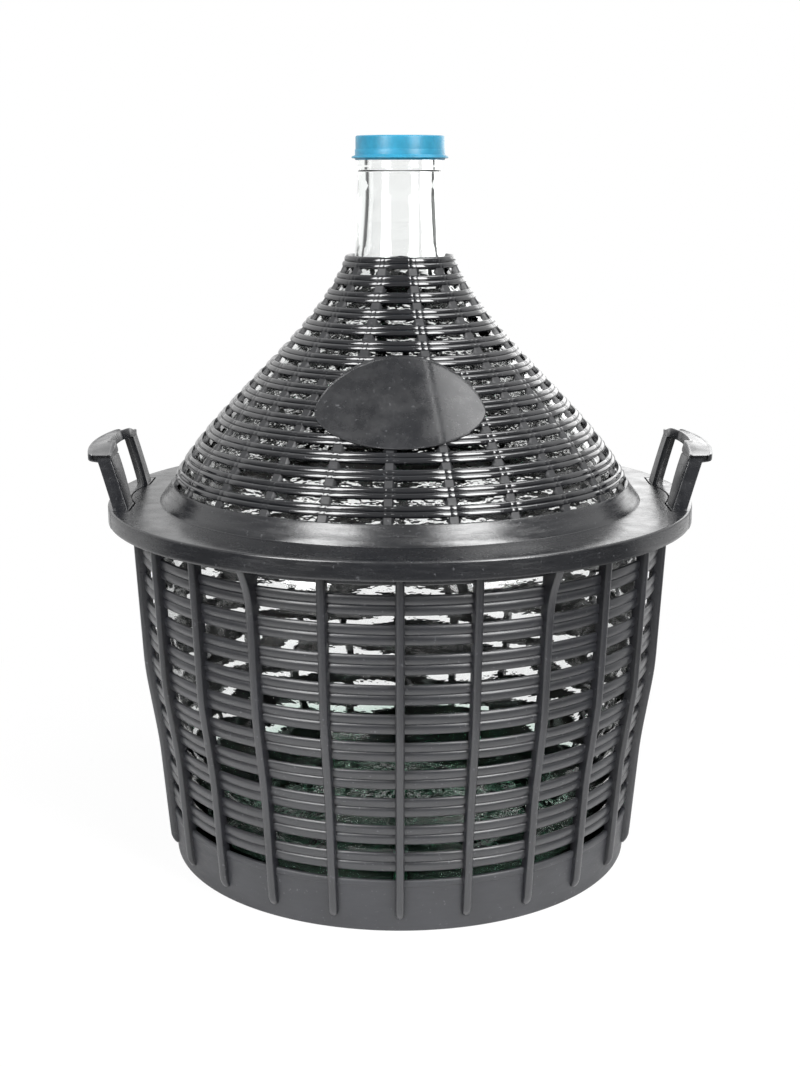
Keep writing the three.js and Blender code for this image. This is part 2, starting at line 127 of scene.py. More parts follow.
# In mirrors and bounced light the sheet's colour is painted darker where it leaves the lamps' light, in
# front of
# the basket: painted shade. The painted lit part reaches further on the left
shifted = add_node(
    tree,
    "ShaderNodeMapping",
    values={"Location": (lit_shift, 0, 0)},
    links={"Vector": place.outputs["Object"]},
)
off_centre = add_node(
    tree, "ShaderNodeVectorMath", {"operation": "LENGTH"}, links={0: shifted.outputs[0]}
)
dimming = add_node(
    tree,
    "ShaderNodeMapRange",
    values={"From Min": lit_reach, "From Max": dim_reach},
    links={"Value": off_centre.outputs["Value"]},
)
direct = add_node(
    tree,
    "ShaderNodeMath",
    {"operation": "MAXIMUM"},
    links={0: path.outputs["Is Camera Ray"], 1: path.outputs["Is Transmission Ray"]},
)
unseen = add_node(
    tree,
    "ShaderNodeMath",
    {"operation": "SUBTRACT"},
    {0: 1.0},
    {1: direct.outputs[0]},
)
floor_axes = add_node(tree, "ShaderNodeSeparateXYZ", links={0: place.outputs["Object"]})
in_front = add_node(
    tree,
    "ShaderNodeMapRange",
    values={"From Max": front_reach, "To Min": 1.0, "To Max": 0.0},
    links={"Value": floor_axes.outputs["Y"]},
)
dim_in_front = add_node(
    tree,
    "ShaderNodeMath",
    {"operation": "MULTIPLY"},
    links={0: in_front.outputs[0], 1: dimming.outputs[0]},
)
dimmed = add_node(
    tree,
    "ShaderNodeMath",
    {"operation": "MULTIPLY"},
    links={0: unseen.outputs[0], 1: dim_in_front.outputs[0]},
)
# Painted shade: the sheet's colour goes from floor_colour to the darker one where dimmed, only for
# mirrors and bounced light
shade = add_node(
    tree,
    "ShaderNodeMix",
    {"data_type": "RGBA"},
    {6: linear(floor_colour), 7: linear(painted_shade_floor_colour)},
    {0: dimmed.outputs[0]},
)
matt = add_node(tree, "ShaderNodeBsdfDiffuse", links={"Color": shade.outputs[2]})
clearing = add_node(
    tree,
    "ShaderNodeMapRange",
    values={"From Min": shadow_inner, "From Max": shadow_outer, "To Min": floor_own_light},
    links={"Value": reach.outputs["Value"]},
)
# Seen through the glass, the sheet under the basket stays in the dark
uncovered = add_node(
    tree,
    "ShaderNodeMapRange",
    values={"From Min": cover_inner, "From Max": cover_outer},
    links={"Value": reach.outputs["Value"]},
)
open_light = add_node(
    tree,
    "ShaderNodeMath",
    {"operation": "MULTIPLY"},
    links={0: uncovered.outputs[0], 1: clearing.outputs[0]},
)
seen = add_node(
    tree,
    "ShaderNodeMath",
    {"operation": "MULTIPLY"},
    links={0: direct.outputs[0], 1: open_light.outputs[0]},
)
sheet = add_node(
    tree, "ShaderNodeMixShader", links={0: seen.outputs[0], 1: matt.outputs[0], 2: glow.outputs[0]}
)
add_node(tree, "ShaderNodeOutputMaterial", links={"Surface": sheet.outputs[0]})
floor_mesh.materials.append(white_sheet)


# The studio: a white wall behind and to the sides, a dim room on the camera's side, and two tall
# soft boxes in front that draw the long highlights on the left and the right of the cover.
room_light = 0.35
room_through_glass = 0.08
mirrored_wall_edge = (-0.15, 0.45)
wall_edge_through_glass = (0.64, 0.8)
box_distance = 1.5
box_size = (0.65, 1.6)
box_aim = 0.2

world = bpy.data.worlds.new("studio")
bpy.context.scene.world = world
world.use_nodes = True
tree = world.node_tree
tree.nodes.clear()
direction = add_node(tree, "ShaderNodeTexCoord")
axes = add_node(tree, "ShaderNodeSeparateXYZ", links={0: direction.outputs["Generated"]})
backward = add_node(
    tree,
    "ShaderNodeMapRange",
    {"interpolation_type": "SMOOTHSTEP"},
    {"From Min": mirrored_wall_edge[0], "From Max": mirrored_wall_edge[1]},
    {"Value": axes.outputs["Y"]},
)
straight_back = add_node(
    tree,
    "ShaderNodeMapRange",
    {"interpolation_type": "SMOOTHSTEP"},
    {"From Min": wall_edge_through_glass[0], "From Max": wall_edge_through_glass[1]},
    {"Value": axes.outputs["Y"]},
)
path = add_node(tree, "ShaderNodeLightPath")
# A ray that came through glass counts as glossy too, so it is taken off here
reflected = add_node(
    tree,
    "ShaderNodeMath",
    {"operation": "SUBTRACT"},
    links={0: path.outputs["Is Glossy Ray"], 1: path.outputs["Is Transmission Ray"]},
)
mirrored = add_node(
    tree,
    "ShaderNodeMath",
    {"operation": "MULTIPLY"},
    links={0: reflected.outputs[0], 1: backward.outputs[0]},
)
seen_through = add_node(
    tree,
    "ShaderNodeMath",
    {"operation": "MULTIPLY"},
    links={0: path.outputs["Is Transmission Ray"], 1: straight_back.outputs[0]},
)
wall = add_node(
    tree,
    "ShaderNodeMath",
    {"operation": "MAXIMUM"},
    links={0: mirrored.outputs[0], 1: seen_through.outputs[0]},
)
white = add_node(
    tree,
    "ShaderNodeMath",
    {"operation": "MAXIMUM"},
    links={0: path.outputs["Is Camera Ray"], 1: wall.outputs[0]},
)
# Through the glass only the wall straight behind is white, and the room beside it is darker still,
# which draws the dark lines along the neck's bore
room = add_node(
    tree,
    "ShaderNodeMapRange",
    values={"To Min": room_light, "To Max": room_through_glass},
    links={"Value": path.outputs["Is Transmission Ray"]},
)
strength = add_node(
    tree, "ShaderNodeMapRange", links={"Value": white.outputs[0], "To Min": room.outputs[0]}
)
light = add_node(
    tree,
    "ShaderNodeBackground",
    values={"Color": (1, 1, 1, 1)},
    links={"Strength": strength.outputs[0]},
)
add_node(tree, "ShaderNodeOutputWorld", links={"Surface": light.outputs[0]})


def soft_box(name, bearing, height, size, power, distance=box_distance):
    """An area lamp at a bearing in degrees from the camera's side, turned to the axis at box_aim."""
    lamp = bpy.data.lights.new(name, "AREA")
    lamp.shape = "RECTANGLE"
    lamp.size, lamp.size_y = size
    lamp.energy = power
    turn = np.radians(bearing)
    box = bpy.data.objects.new(name, lamp)
    box.location = (distance * np.sin(turn), -distance * np.cos(turn), height)
    tilt = np.arctan2(height - box_aim, distance)
    box.rotation_euler = (np.pi / 2 - tilt, 0, turn)
    box.visible_camera = False
    bpy.context.scene.collection.objects.link(box)


soft_box("left_box", -40, 1.14, box_size, 38)
soft_box("right_box", 40, 1.14, box_size, 42)
soft_box("side_right_box", 90, 1.6, (0.7, 0.7), 7, distance=0.75)
soft_box("back_right_box", 152, 0.62, (1.0, 0.6), 3)


# The basket's rings. The basket is one injection moulding of black polypropylene: ten flat rings,
# each with two broad round beads, with a row of windows between.
wall_heights = (0, 84, 135, 241.4)
wall_radii = (156, 163, 171, 176.5)
wall_rounding = 9


def wall_radius(height):
    """Outer radius of the basket's wall: a narrow foot, a waist, a knee and a wide top.

    The straight-line table is read at nine heights up to wall_rounding either side. Their mean
    rounds its corners.
    """
    offsets = np.linspace(-wall_rounding, wall_rounding, 9)
    return np.mean([np.interp(height + offset, wall_heights, wall_radii) for offset in offsets], axis=0)


corner_share = 0.18


def bead_section(widths, crest, depth, back, points):
    """A band's section as [along, out], from its foot up: a row of beads, then a flat back.

    A bead rises over the share `crest` of its width and falls over the rest, each part along a
    quarter of an ellipse: out = depth (cos a - 1) and along = the crest's place + the part's length
    times sin a, for a from -82 to 82 degrees. The back runs at out = -back, with its corners cut.
    """
    widths = np.array(widths)[:, None]
    turn = np.radians(np.linspace(-82, 82, points))
    share = np.where(turn < 0, crest, 1 - crest)
    along = np.cumsum(widths, 0) - widths * (1 - crest) + widths * share * np.sin(turn)
    out = np.broadcast_to(depth * (np.cos(turn) - 1), along.shape)
    face = np.stack([along.ravel(), out.ravel()], 1)
    length = widths.sum()
    cut = corner_share * back
    rear = [(length, -back + cut), (length - cut, -back), (cut, -back), (0, -back + cut)]
    return np.concatenate([face, rear])


def tube_faces(tubes, stations, points, closed):
    """Quads of tubes that are grids of stations by points, and the ends' polygons if not closed.

    Corner (i, j) joins (i + 1, j), (i + 1, j + 1) and (i, j + 1). Points always wrap round.
    """
    i = np.arange(stations if closed else stations - 1)[:, None]
    j = np.arange(points)[None, :]
    i, j = np.broadcast_arrays(i, j)
    after, beside = (i + 1) % stations, (j + 1) % points
    here, ahead = i * points, after * points
    quads = np.stack([here + j, ahead + j, ahead + beside, here + beside], -1)
    start = np.arange(tubes) * stations * points
    quads = (quads.reshape(1, -1, 4) + start[:, None, None]).reshape(-1, 4)
    if closed:
        return [quads]
    first = start[:, None] + np.arange(points)[None, :]
    return [quads, first, first[:, ::-1] + (stations - 1) * points]


def volume_of(points, faces):
    """Six times the volume inside the quads, by tetrahedra to their mean corner."""
    a, b, c, d = np.moveaxis(points[faces], 1, 0)
    return np.sum(np.cross(a, b) * c + np.cross(a, c) * d)


def make_piece(name, shells, body, node, material, crease=32):
    """Makes closed shells into one mesh object that rides on a body and stands for a CAD node.

    A shell is (points, closed): points[tube, station, point] in millimetres, each tube wrapping
    round its points and, if closed, along its stations too. A shell that comes out inside out is
    turned. Corners that meet at a pole or a tip are merged.
    """
    vertices, loops, totals, base = [], [], [], 0
    for points, closed in shells:
        tubes, stations, around = points.shape[:3]
        flat = points.reshape(-1, 3)
        groups = tube_faces(tubes, stations, around, closed)
        if volume_of(flat - flat.mean(0), groups[0]) < 0:
            groups = [group[:, ::-1] for group in groups]
        for group in groups:
            loops.append((group + base).ravel())
            totals.append(np.full(len(group), group.shape[1]))
        vertices.append(flat)
        base += len(flat)
    vertices, loops, totals = map(np.concatenate, (vertices, loops, totals))
    mesh = bpy.data.meshes.new(name)
    mesh.vertices.add(len(vertices))
    mesh.vertices.foreach_set("co", (vertices * 0.001).astype(np.float32).ravel())
    mesh.loops.add(len(loops))
    mesh.loops.foreach_set("vertex_index", loops.astype(np.int32))
    mesh.polygons.add(len(totals))
    starts = np.concatenate([[0], np.cumsum(totals)[:-1]])
    mesh.polygons.foreach_set("loop_start", starts.astype(np.int32))
    mesh.update(calc_edges=True)
    work = bmesh.new()
    work.from_mesh(mesh)
    bmesh.ops.remove_doubles(work, verts=work.verts, dist=2e-6)
    work.to_mesh(mesh)
    work.free()
    mesh.validate()
    mesh.shade_smooth()
    mesh.set_sharp_from_angle(angle=np.radians(crease))
    mesh.materials.append(material)
    piece = bpy.data.objects.new(name, mesh)
    bpy.context.scene.collection.objects.link(piece)
    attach(piece, body)
    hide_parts(node)


def around_axis(radius, angle, height):
    """Points at a radius, an angle and a height, as [..., x, y, z]."""
    radius, angle, height = np.broadcast_arrays(radius, angle, height)
    return np.stack([radius * np.cos(angle), radius * np.sin(angle), height], -1)


cloud_mm, rub_mm, fleck_mm = 35.71, 18.18, 2.381
scuff_colour = "6A6B6E"


def moulded_plastic(name, colour, roughness, grain_mm, grain_depth, streaks, stretch, gloss):
    """Black polyolefin as it leaves the mould: a faint grain, rubbed streaks and paler scuffs.

    The streaks run level, are longer than high by the factor `stretch`, and change the roughness
    by up to `streaks`. The grain's width and depth are in millimetres. Real grain is finer than
    shows here, and is drawn as coarse as it needs to be.
    """
    material, tree = new_material(name)
    place = add_node(tree, "ShaderNodeTexCoord")
    grain = add_node(
        tree,
        "ShaderNodeTexNoise",
        values={"Scale": 1000 / grain_mm, "Detail": 3, "Roughness": 0.6},
        links={"Vector": place.outputs["Object"]},
    )
    cloud = add_node(
        tree,
        "ShaderNodeTexNoise",
        values={"Scale": 1000 / cloud_mm, "Detail": 4, "Roughness": 0.55},
        links={"Vector": place.outputs["Object"]},
    )
    stretched = add_node(
        tree,
        "ShaderNodeMapping",
        values={"Scale": (1, 1, stretch)},
        links={"Vector": place.outputs["Object"]},
    )
    rub = add_node(
        tree,
        "ShaderNodeTexNoise",
        values={"Scale": 1000 / rub_mm, "Detail": 5, "Roughness": 0.7},
        links={"Vector": stretched.outputs[0]},
    )
    shade = np.array(linear(colour)[:3])
    tone = add_node(
        tree,
        "ShaderNodeValToRGB",
        links={0: cloud.outputs["Fac"]},
        stops=[(0.3, (*(shade * 0.8), 1)), (0.7, (*(shade * 1.2), 1))],
    )
    fleck = add_node(
        tree,
        "ShaderNodeTexNoise",
        values={"Scale": 1000 / fleck_mm, "Detail": 2, "Roughness": 0.6},
        links={"Vector": place.outputs["Object"]},
    )
    scuff = add_node(
        tree,
        "ShaderNodeMapRange",
        values={"From Min": 0.66, "From Max": 0.74, "To Max": 0.35},
        links={"Value": fleck.outputs["Fac"]},
    )
    scuffed = add_node(
        tree,
        "ShaderNodeMix",
        {"data_type": "RGBA"},
        {7: linear(scuff_colour)},
        {0: scuff.outputs[0], 6: tone.outputs[0]},
    )
    sheen = add_node(
        tree,
        "ShaderNodeMapRange",
        values={
            "From Min": 0.3,
            "From Max": 0.7,
            "To Min": roughness - streaks,
            "To Max": roughness + streaks,
        },
        links={"Value": rub.outputs["Fac"]},
    )
    bump = add_node(
        tree,
        "ShaderNodeBump",
        values={"Strength": 0.5, "Distance": grain_depth / 1000},
        links={"Height": grain.outputs["Fac"]},
    )
    surface = add_node(
        tree,
        "ShaderNodeBsdfPrincipled",
        values={"IOR": 1.49, "Specular IOR Level": gloss},
        links={
            "Base Color": scuffed.outputs[2],
            "Roughness": sheen.outputs[0],
            "Normal": bump.outputs[0],
        },
    )
    add_node(tree, "ShaderNodeOutputMaterial", links={"Surface": surface.outputs[0]})
    return material


# Polypropylene from a smooth mould: a satin sheen, with level streaks where it was rubbed
satin_polypropylene = moulded_plastic(
    "satin_polypropylene",
    "191A1E",
    roughness=0.34,
    grain_mm=0.8,
    grain_depth=0.07,
    streaks=0.07,
    stretch=14,
    gloss=0.8,
)

front = -np.pi / 2
wall_thickness = 2.6
ring_count = 10
ring_foot = 40.6
ring_pitch = 18.48
ring_height = 12.48
ring_sway = 0.22
bead_crest = 0.52
bead_depth = 1.2

section = bead_section([ring_height / 2, ring_height / 2], bead_crest, bead_depth, wall_thickness, 11)
full_turn = np.linspace(0, 2 * np.pi, 240, endpoint=False)
foot = ring_foot + ring_pitch * np.arange(ring_count)
# No two rings are quite level: each sways three times round, out of step with the next
sway = ring_sway * np.sin(3 * full_turn[None, :] + 1.7 * np.arange(ring_count)[:, None])
height = foot[:, None, None] + sway[..., None] + section[:, 0]
rings = around_axis(wall_radius(height) + section[:, 1], full_turn[None, :, None], height)
make_piece("basket_rings", [(rings, True)], "basket", "basket", satin_polypropylene)


# The basket's ribs: two dozen upright bars, moulded in one with the rings. Each has a round face
# and ends low on the base band in a round foot. Every fourth one flares out to carry the rim.
rib_count = 24
rib_width = 5.4
rib_depth = 4.6
rib_round = 2.5
gusset_pitch = 4
rib_foot = 8.6
rib_top = 239.6
foot_share = 0.3
foot_rise = 8
foot_tip = 2.7
flare_foot = 214
flare_slope = 0.47
flare_softness = 6
rim_radius = 192.1

# Stations close up at the foot, where the face rounds over
rise = np.concatenate([rib_foot + 4 * np.linspace(0, 1, 9) ** 2, np.linspace(15, rib_top, 46)])
over_foot = np.clip((rise - rib_foot) / foot_rise, 0, 1)
proud = rib_depth * (foot_share + (1 - foot_share) * over_foot * (2 - over_foot))
# The flare turns softly from upright to its slope
flare = flare_slope * flare_softness * np.log1p(np.exp((rise - flare_foot) / flare_softness))
is_gusset = np.arange(rib_count) % gusset_pitch == gusset_pitch // 2
face = np.minimum(wall_radius(rise) + proud + flare * is_gusset[:, None], rim_radius - 0.4)
half = rib_width / 2 * np.sqrt(1 - np.clip(1 - (rise - rib_foot) / foot_tip, 0, 1) ** 2)
half = np.maximum(half, 0.25)
back = wall_radius(rise) - wall_thickness

# From the back's corner the section follows a quarter circle to the middle of the face
turn = np.radians(np.linspace(0, 88, 8))
across = np.concatenate([[0], rib_round * (1 - np.cos(turn))])
drop = np.concatenate([[0], rib_round * (1 - np.sin(turn))])
side = -half[:, None] + np.minimum(across, half[:, None] * 0.98)
out = face[..., None] - drop
out[..., 0] = back
side = np.concatenate([side, -side[:, ::-1]], 1)
out = np.concatenate([out, out[..., ::-1]], -1)
angle = front + 2 * np.pi / rib_count * np.arange(rib_count)
ribs = around_axis(out, angle[:, None, None] + side / out, rise[:, None])
make_piece("basket_ribs", [(ribs, False)], "basket", "basket", satin_polypropylene)


# The basket's base: a plain band with a bead along its top edge, a foot band that it stands on,
# and a floor that is raised a little and has eight drain slots.
band_top = 34.8
floor_under = 2.0
floor_top = 4.6
foot_inner = 147.7
foot_rounding = 1.4
bead_axis, bead_level, bead_half, bead_proud = wall_radius(32.6) - 0.5, 32.5, 2.3, 0.9
drain_half = 4.5
drain_inner, drain_outer = 55, 120
drain_count = 8

turn = np.radians(np.linspace(0, 90, 6))
foot_edge = foot_rounding * np.stack([np.sin(turn) - 1, 1 - np.cos(turn)], 1) + [wall_radius(0), 0]
rise = np.linspace(3, 29.5, 8)
plain = np.stack([wall_radius(rise), rise], 1)
turn = np.radians(np.linspace(-75, 82, 9))
top_bead = np.stack([bead_axis + bead_proud * np.cos(turn), bead_level + bead_half * np.sin(turn)], 1)
inside = [
    (wall_radius(34) - wall_thickness + 0.5, band_top),
    (wall_radius(34) - wall_thickness, band_top - 0.5),
    (wall_radius(6) - wall_thickness, floor_top + 1.5),
    (wall_radius(4) - wall_thickness - 1.5, floor_top),
    (foot_inner - 3, floor_top),
    (foot_inner - 3, floor_under),
    (foot_inner - 2, floor_under),
    (foot_inner, 0),
]
profile = np.concatenate([foot_edge, plain, top_bead, inside])
band = around_axis(profile[:, 0], full_turn[:, None], profile[:, 1])[None]


def plate_ring(inner, outer):
    """A flat ring or disc of the floor's thickness between two radii, as one closed tube."""
    radius = np.array([inner, outer, outer, inner])
    level = np.array([floor_under, floor_under, floor_top, floor_top])
    return around_axis(radius, full_turn[:, None], level)[None]


# The plain band comes from a grained mould, and so is paler, with wide soft highlights
grained_polypropylene = moulded_plastic(
    "grained_polypropylene",
    "222327",
    roughness=0.5,
    grain_mm=0.7,
    grain_depth=0.12,
    streaks=0.08,
    stretch=4,
    gloss=0.65,
)

# Between two drain slots the floor is a sector, whose sides stay parallel to the slots
radius = np.linspace(drain_inner - 1, drain_outer + 1, 8)
loop_radius = np.concatenate([radius, radius[::-1]])
loop_level = np.concatenate([np.full(8, floor_under), np.full(8, floor_top)])
clear = np.arcsin(drain_half / loop_radius)
share = np.linspace(0, 1, 12)[:, None]
drain_angle = 2 * np.pi / drain_count
angle = drain_angle * np.arange(drain_count)[:, None, None] + clear + (drain_angle - 2 * clear) * share
sectors = around_axis(loop_radius, angle, loop_level)
make_piece(
    "basket_base",
    [
        (band, True),
        (plate_ring(drain_outer, foot_inner - 2.5), True),
        (plate_ring(0, drain_inner), True),
        (sectors, False),
    ],
    "basket",
    "basket",
    grained_polypropylene,
)


# The basket's rim and its two handles. The rim is a flat ring on top of the wall. At each side a
# lug fills the cover's notch, and carries two angle-section legs and a bowed grip with a dished top.
rim_under, rim_top = 238.9, 241.4
wall_band_foot = 225.4
lug_inner = 175
lug_half = 57.5
skirt_foot = 232.1
skirt_inner = 192.6
flange_radius = 195
flange_top = 244.1
lug_bow_depth, lug_bow_half = 6.5, 32
lean = np.radians(16)
leg_foot = flange_radius - 19
leg_sunk, grip_sunk = 2, 2.6
grip_half = 52
grip_outer, grip_width, grip_height, grip_arch = 200.1, 14.6, 5.6, 6.5
grip_face = 4.6
arch_half, arch_fade = 18, 9
tilt_half, tilt_fade = 24, 28
corner_start, corner_length, corner_draw = 48.4, 3.7, 2.4
grip_level = 280.0
grip_tilt = np.radians(15)

# The wall's plain top band and the rim in one section
top_wall = wall_radius(np.array([wall_band_foot, rim_under]))
profile = np.array(
    [
        (top_wall[0] - 0.4, wall_band_foot),
        (top_wall[0], wall_band_foot + 0.6),
        (top_wall[1] - 0.4, rim_under - 1.2),
        (top_wall[1] + 0.8, rim_under),
        (rim_radius - 0.5, rim_under),
        (rim_radius, rim_under + 0.5),
        (rim_radius, rim_top - 0.6),
        (rim_radius - 0.6, rim_top),
        (top_wall[1] - wall_thickness + 0.6, rim_top),
        (top_wall[1] - wall_thickness, rim_top - 0.6),
        (top_wall[0] - wall_thickness, wall_band_foot + 0.5),
        (top_wall[0] - wall_thickness + 0.5, wall_band_foot),
    ]
)
rim = around_axis(profile[:, 0], full_turn[:, None], profile[:, 1])[None]
make_piece("basket_rim", [(rim, True)], "basket", "basket", satin_polypropylene)


def both_sides(points, mirrored_y=False):
    """The same tubes at -X and +X, or with their copies in the plane of the axis and the front."""
    if mirrored_y:
        points = np.concatenate([points, points * [1, -1, 1]])
    return np.concatenate([points, points * [-1, 1, 1]])


def lug_bow(y):
    """How far the split between lug and flange bows out between the legs, along a parabola."""
    return lug_bow_depth * np.clip(1 - (y / lug_bow_half) ** 2, 0, 1)


# The lug follows the rim's circle outside, and its inner side is straight but for the bow
lug = np.array(
    [
        (0, rim_under),
        (skirt_inner, rim_under),
        (skirt_inner, skirt_foot),
        (flange_radius - 0.5, skirt_foot),
        (flange_radius, skirt_foot + 0.5),
        (flange_radius, flange_top - 1.6),
        (flange_radius - 0.5, flange_top - 0.5),
        (flange_radius - 1.6, flange_top),
        (0, flange_top),
    ]
)
y = np.linspace(-lug_half, lug_half, 37)[:, None]
x = np.where(lug[:, 0] > 0, np.sqrt(np.maximum(lug[:, 0] ** 2 - y**2, 1)), lug_inner + lug_bow(y))
lugs = np.stack(np.broadcast_arrays(x, y, lug[:, 1]), -1)[None]


def round_corners(corners, radius, steps=4):
    """The outline with each corner rounded, by a curve that starts and ends `radius` away from it.

    With a and b the points at that distance on its two sides: a (1-t)^2 + 2 c (1-t) t + b t^2.
    """
    corner = np.array(corners, float)
    ends = []
    for way in (1, -1):
        side = np.roll(corner, way, 0) - corner
        side /= np.linalg.norm(side, axis=1, keepdims=True)
        ends.append(corner + side * np.reshape(radius, (-1, 1)))
    t = np.linspace(0, 1, steps)[:, None, None]
    curve = ends[0] * (1 - t) ** 2 + 2 * corner * (1 - t) * t + ends[1] * t**2
    return curve.swapaxes(0, 1).reshape(-1, 2)


# A leg's section at its top and at its foot, as [out from the leaning face, in from the near side].
# Its near face has a ridge, which crosses from the inner edge at the top to the outer at the foot
leg_round = (1.1, 0.4, 0.9, 0.8, 0.8, 0.8, 0.8)
leg_top = [(0, 0.1), (1.6, 0), (9, 0), (9, 3.8), (3, 4.2), (2.2, 22), (-1.4, 22)]
leg_top = round_corners(leg_top, leg_round)
leg_low = [(0, 2.2), (7, 0), (9.4, 0), (9.6, 4.6), (5, 5.6), (3.4, 20), (0, 20)]
leg_low = round_corners(leg_low, leg_round)
leg_rise = np.linspace(0, 1, 18)
spread = (1 - np.clip(leg_rise / 0.8, 0, 1)) ** 1.6
shape = leg_top + (leg_low - leg_top) * spread[:, None, None]
level = flange_top - leg_sunk + leg_rise * (grip_level - grip_sunk - flange_top + leg_sunk)
x = leg_foot + (level - flange_top)[:, None] * np.tan(lean) + shape[..., 0] / np.cos(lean)
legs = np.stack(np.broadcast_arrays(x, shape[..., 1] - grip_half, level[:, None]), -1)[None]

# The grip is a bar that follows the rim's circle. Its outer edge is level, and between the legs it
# leans out as they do, less and less towards its ends. Its section, as [out, up], is dished between
# two edges, and each end is recessed inside a thin edge
bar = [(0, -2), (grip_width, 0), (grip_width, grip_face), (grip_width - 1.5, grip_face)]
bar += [(grip_width - 2.1, 4), (2.5, 3.9), (1.8, 4.7), (0, 4.7)]
bar = round_corners(bar, (0.8, 1.2, 0.7, 0.5, 0.4, 0.4, 0.6, 0.8))
inset = np.array([0.9, 0.9, 0.45, 0, 0, 0, 0])
end_y = grip_half - np.array([2.2, 0.3, 0, 0.3, 1.2, 2.4, 3.6])
inset = np.concatenate([inset, np.zeros(22), inset[::-1]])
y = np.concatenate([-end_y, np.linspace(5 - grip_half, grip_half - 5, 22), end_y[::-1]])[:, None]
middle = np.array([grip_width / 2, 1.9])
shrink = 1 - 2 * inset[:, None, None] / np.array([grip_width, grip_height])
u, w = np.moveaxis(middle + (bar - middle) * shrink, -1, 0)
# The outer corners round off over the last few millimetres of each end
corner = np.sqrt(1 - np.clip((np.abs(y) - corner_start) / corner_length, 0, 1) ** 2)
u = u * (1 - corner_draw * (1 - corner) / grip_width)
bow = grip_arch * (1 - (y / grip_half) ** 2)


def ease(distance, start, length):
    """Rises from 0 at `start` to 1 after `length`, as 3 t^2 - 2 t^3."""
    t = np.clip((distance - start) / length, 0, 1)
    return t**2 * (3 - 2 * t)


# Over the legs its inner edge is straight, and between them it bows as the outer edge does
u = grip_width - (grip_width - u) * (1 + bow * ease(np.abs(y), arch_half, arch_fade) / grip_width)
tilt = grip_tilt * (1 - ease(np.abs(y), tilt_half, tilt_fade))
x = grip_outer + bow + (u - grip_width) * np.cos(tilt) + (w - grip_face) * np.sin(tilt)
level = grip_level - (u - grip_width) * np.sin(tilt) + (w - grip_face) * np.cos(tilt)
grips = np.stack(np.broadcast_arrays(x, y, level), -1)[None]

# Hands have polished the handles unevenly, in patches
handled_polypropylene = moulded_plastic(
    "handled_polypropylene",
    "17181B",
    roughness=0.24,
    grain_mm=1.6,
    grain_depth=0.12,
    streaks=0.13,
    stretch=2,
    gloss=0.85,
)
make_piece(
    "basket_handles",
    [
        (both_sides(lugs), False),
        (both_sides(legs, mirrored_y=True), False),
        (both_sides(grips), False),
    ],
    "basket",
    "basket",
    handled_polypropylene,
)


# The cover's cone: a second moulding, in glossier polyethylene. Sixteen rings with two round beads
# each are joined by upright posts, and the slots between them have pointed ends.

# The beads come from a polished mould, and each draws the soft boxes as a thin bright line
glossy_polyethylene = moulded_plastic(
    "glossy_polyethylene",
    "111215",
    roughness=0.13,
    grain_mm=2.4,
    grain_depth=0.06,
    streaks=0.04,
    stretch=14,
    gloss=1.0,
)

cone_foot, cone_top = 256.1, 404.1
cone_radii = (153, 127.7, 53.2, 35.7)
cone_wall = 3
cone_bead_depth = 1.15
slot_rows = 16
slot_height = 4.4
cover_turn = np.radians(-2.8)
main_posts = 12
short_rows = 9
main_half, short_half, post_swell = 2.8, 2.6, 1.9
post_face, post_back = -0.85, -2.8
seam_offsets = np.array([-2.25, -1.9, -1.55, 0, 1.55, 1.9, 2.25])
seam_depths = np.array([0, 0.1, 0, 0, 0, 0.1, 0])


def cone_radius(height):
    """Outer radius of the cone: a cubic curve in t, the share of its height.

    r0 (1-t)^3 + 3 r1 (1-t)^2 t + 3 r2 (1-t) t^2 + r3 t^3, from foot to top.
    """
    t = np.clip((height - cone_foot) / (cone_top - cone_foot), 0, 1)
    r0, r1, r2, r3 = cone_radii
    return r0 * (1 - t) ** 3 + 3 * r1 * (1 - t) ** 2 * t + 3 * r2 * (1 - t) * t**2 + r3 * t**3


fine_height = np.linspace(cone_foot, cone_top, 600)
fine_step = np.hypot(np.diff(fine_height), np.diff(cone_radius(fine_height)))
fine_slope = np.concatenate([[0], np.cumsum(fine_step)])
row_pitch = fine_slope[-1] / slot_rows


def on_cone(along, out, angle):
    """Radius, angle and height at a distance along the cone's slope and a distance square to it."""
    height = np.interp(along, fine_slope, fine_height)
    delta = 0.05
    fall = (cone_radius(height + delta) - cone_radius(height - delta)) / (2 * delta)
    scale = np.sqrt(1 + fall**2)
    return cone_radius(height) + out / scale, angle, height - out * fall / scale


# Stations round the cone: fine ones at the two seams of each post, wide ones between. The short
# posts stand half way between the main ones
main_angle = 2 * np.pi / main_posts
between = np.array([0.14, 0.215, 0.285, 0.36])
no_offset, no_seam = np.zeros(len(between)), np.zeros(len(seam_offsets))
shares = np.concatenate([no_seam, between, no_seam + 0.5, 1 - between[::-1]])
offsets = np.concatenate([seam_offsets, no_offset, seam_offsets, no_offset])
on_main = np.concatenate([seam_depths, no_offset, no_seam, no_offset])
on_short = np.concatenate([no_seam, no_offset, seam_depths, no_offset])
turn = front + cover_turn + main_angle * (np.arange(main_posts)[:, None] + 0.5 + shares).ravel()
offsets = np.tile(offsets, main_posts)

bead_width = (row_pitch - slot_height) / 2
section = bead_section([bead_width, bead_width], 0.5, cone_bead_depth, cone_wall, 9)
foot = row_pitch * np.arange(slot_rows) + slot_height
along = foot[:, None, None] + section[:, 0]
has_short = (np.arange(slot_rows) < short_rows)[:, None]
seam = np.tile(on_main, main_posts)[None] + has_short * np.tile(on_short, main_posts)[None]
is_face = section[:, 1] >= -cone_bead_depth
out = section[:, 1] - seam[..., None] * is_face
row_radius = cone_radius(np.interp(foot + 3, fine_slope, fine_height))
angle = turn[None, :, None] + (offsets[None, :] / row_radius[:, None])[..., None]
along, out, angle = np.broadcast_arrays(along, out, angle)
cone_rings = around_axis(*on_cone(along, out, angle))


